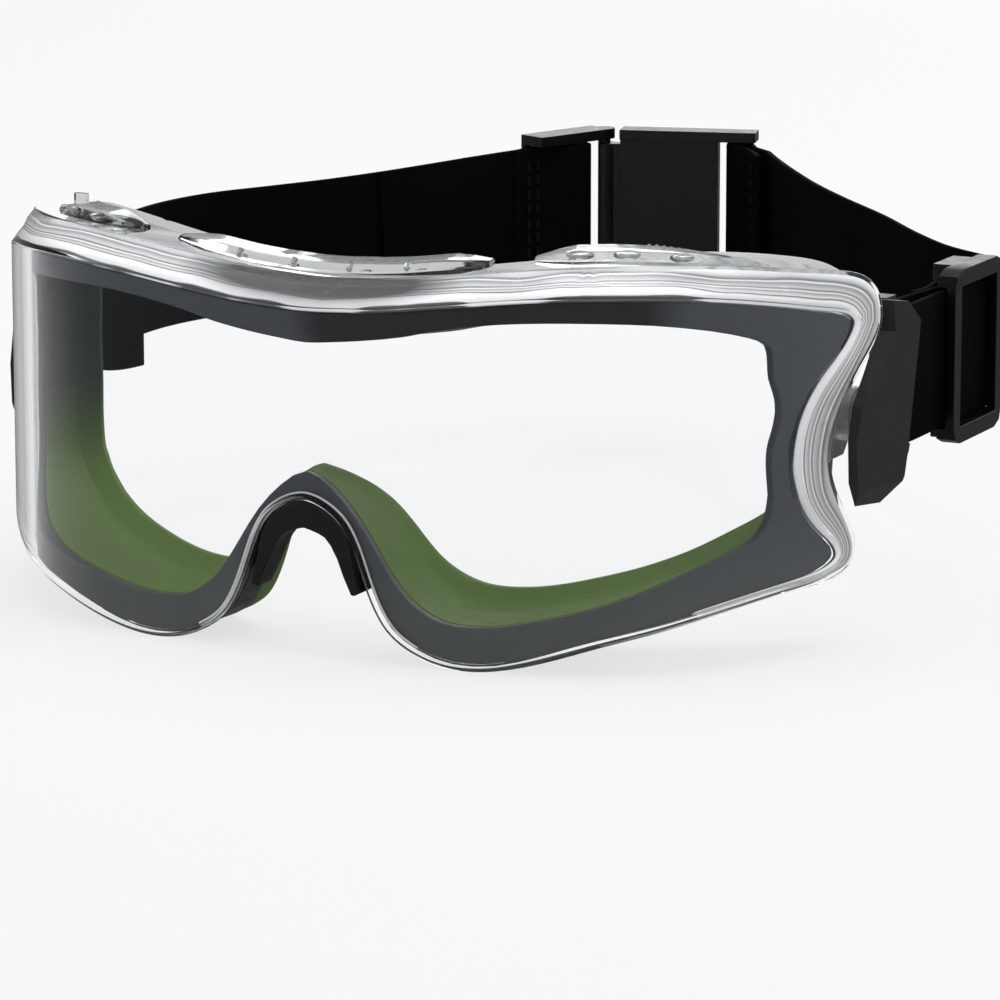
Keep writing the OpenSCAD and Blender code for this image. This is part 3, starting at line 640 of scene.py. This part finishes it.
def wrap(x, y, z, radius, start, end):
    """Points on an arc round an upright bar, between two angles in degrees."""
    turns = [radians(start + (end - start) * i / wrap_steps) for i in range(wrap_steps + 1)]
    return [Vector((x + radius * cos(a), y + radius * sin(a), z)) for a in turns]


def band(path, name, body, nodes):
    """A flat band on edge along a path, with its length and height as UV."""
    bm = bmesh.new()
    layer = bm.verts.layers.float.new("run")
    run, last, low = 0, path[0], []
    for p in path:
        run += (p - last).length
        last = p
        v = bm.verts.new(p / 1000 - Vector((0, 0, strap_w / 2)))
        v[layer] = run / 1000
        low.append(v)
    edges = [bm.edges.new(ends) for ends in zip(low, low[1:])]
    bmesh.ops.extrude_edge_only(bm, edges=edges)
    low = set(low)
    bmesh.ops.translate(bm, verts=[v for v in bm.verts if v not in low], vec=(0, 0, strap_w))
    uv_layer = bm.loops.layers.uv.new("weave")
    for f in bm.faces:
        for loop in f.loops:
            loop[uv_layer].uv = (loop.vert[layer], 0 if loop.vert in low else strap_w)
    obj = add_piece(bm, name, body, webbing_black, nodes, sharp=60)
    thick = obj.modifiers.new("thick", "SOLIDIFY")
    thick.thickness, thick.offset, thick.use_even_offset = strap_t, 0, True
    rounded = obj.modifiers.new("edge", "BEVEL")
    rounded.width, rounded.segments = 0.00035, 2
    rounded.limit_method, rounded.angle_limit = "ANGLE", radians(50)
    return obj


def lifted(route):
    """A route whose heights are counted from the strap's middle at the clips."""
    return [(x, y, strap_z + z) for x, y, z in route]


def in_buckle(turn, x, y):
    """A point x and y from the buckle's hook, in a frame turned about it."""
    a = radians(turn)
    return Vector((hook[0] + x * cos(a) - y * sin(a), hook[1] + x * sin(a) + y * cos(a), rear_z))


plate_bar = in_buckle(plate_turn, plate_reach, 0)
ring_bar = in_buckle(ring_turn, ring_reach, 0)


def from_bar(along, out):
    """A point beside the plate's outer bar, counted along the webbing and out from it."""
    a = radians(bar_turn)
    return plate_bar + Vector((along * sin(a) + out * cos(a), -along * cos(a) + out * sin(a), 0))


clip_wrap = wrap(*clip_bar, strap_z, round_bar, 180, 360)
left_route = lifted([(86.2, 40, 0), (86.2, 62, 0), (86.2, 85, 0), (83.6, 93, -0.4), (76.5, 99.5, -1),
                     (67, 104.5, -0.6), (57.5, 111.5, 0.4), (47, 121.5, 1.4), (35, 131.5, 2.4),
                     (24.5, 142, 3), (15, 153.5, 3.4), (7, 164, 3.7), (0.5, 173.6, 3.8)])
plate_wrap = wrap(plate_bar.x, plate_bar.y, rear_z, round_bar, bar_turn, bar_turn + 180)
plate_end = spline([from_bar(4, -1.7), from_bar(8, 0.1), from_bar(12, 0.45), from_bar(18, 0.4)], 4)
band(clip_wrap + spline(left_route, 5) + [from_bar(6, 2)] + plate_wrap + plate_end, "strap_outer_left",
     "harness", ["strap_left"])

# The inner layer on the wearer's left runs from the clip's bar to the slider and is sewn
# round its middle bar.
tail_out = spline([(81.5, 33.8, strap_z), (81.5, 38, strap_z), (82.2, 46, strap_z), (83.4, 54, strap_z),
                   (84.3, 61, strap_z)], 4)
slider_wrap = wrap(*slider_bar, strap_z, round_slider, 0, 180)
tail_back = spline([(81.2, 63.5, strap_z), (82, 60, strap_z), (82.3, 56, strap_z), (81.6, 51, strap_z)], 4)
tail_band = band(tail_out + slider_wrap + tail_back, "strap_inner_left", None, ["strap_left_tail"])
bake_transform(tail_band)

# On the wearer's right the sewn end lies inside the band, a little low. Behind the ear
# the band twists on towards the buckle's ring. The fixed band and the end band share a
# short stretch, so that no gap opens between them.
right_route = spline(lifted([(-86.2, 40, 0), (-87.4, 52, 0), (-89, 66, 0.2), (-88.8, 80, 0.4),
                             (-84.6, 92, 0.8), (-76.5, 101.5, 1.4), (-68.4, 111, 2), (-61.4, 121.5, 2.6),
                             (-55.4, 132, 3.2), (-50.6, 142.5, 3.6), (-46.6, 152, 3.8)]), 5)
swing_from, shared = 34, 2
clip_end = spline(lifted([(-85.6, 65.5, -4.6), (-85.8, 58, -4.2), (-85.2, 50, -3), (-83.2, 42, -1.2),
                          (-81.7, 37, -0.3)]), 4)
right_clip_wrap = [Vector((-p.x, p.y, p.z)) for p in clip_wrap]
band(clip_end + right_clip_wrap + right_route[:swing_from + shared], "strap_outer_right",
     "harness", ["strap_right"])
to_ring = spline([in_buckle(ring_turn, x, -round_bar) for x in (19, 13.5)], 2)
ring_wrap = wrap(ring_bar.x, ring_bar.y, rear_z, round_bar, ring_turn + 270, ring_turn + 90)
ring_end = spline([in_buckle(ring_turn, x, y)
                   for x, y in ((11.5, 1.7), (15, 0.1), (18, -0.7), (25, -0.8))], 4)
swing_band = band(right_route[swing_from:] + to_ring + ring_wrap + ring_end, "strap_end_right", None,
                  ["strap_right_end"])
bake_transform(swing_band)

# Slider: a black plastic frame that clamps both layers of the strap on the wearer's left.
# The outer layer runs through it.
slider_black = new_finish("slider_plastic", (0.002, 0.002, 0.0018), 0.35, Specular_IOR_Level=0.3)
add_grain(slider_black, 700, (0.3, 0.4))
add_piece(cad_copy("strap_slider"), "slider_frame", "slider", slider_black, ["strap_slider"],
          sharp=25, bevel=0.0006, steps=3)

# Buckle: a black plate with an open hook, and a ring whose bar swings in that hook. The
# two ends of the strap are sewn round the outer bars.
buckle_black = new_finish("buckle_plastic", (0.003, 0.003, 0.0028), 0.35, Specular_IOR_Level=0.3)
add_grain(buckle_black, 700, (0.3, 0.4))
for name, body in (("plate", "harness"), ("ring", "ring")):
    add_piece(cad_copy("buckle_" + name), name, body, buckle_black, ["buckle_" + name],
              sharp=25, bevel=0.0009, steps=4)

# Stitching: two rows of polyester thread across each sewn end, pulled tight into short
# rounded stitches.
thread = new_finish("thread_polyester", (0.005, 0.005, 0.005), 0.6, Specular_IOR_Level=0.1)
add_grain(thread, 2500, (0.4, 0.6), bump=0.3)
for name, body in (("slider", "slider"), ("plate", "harness"), ("ring", "ring"), ("clip_right", "harness")):
    add_piece(cad_copy("stitching_" + name), "stitches_" + name, body, thread,
              ["stitching_" + name], bevel=0.00015, steps=3)

# Colours are shown as they are written.
bpy.context.scene.view_settings.view_transform = "Standard"
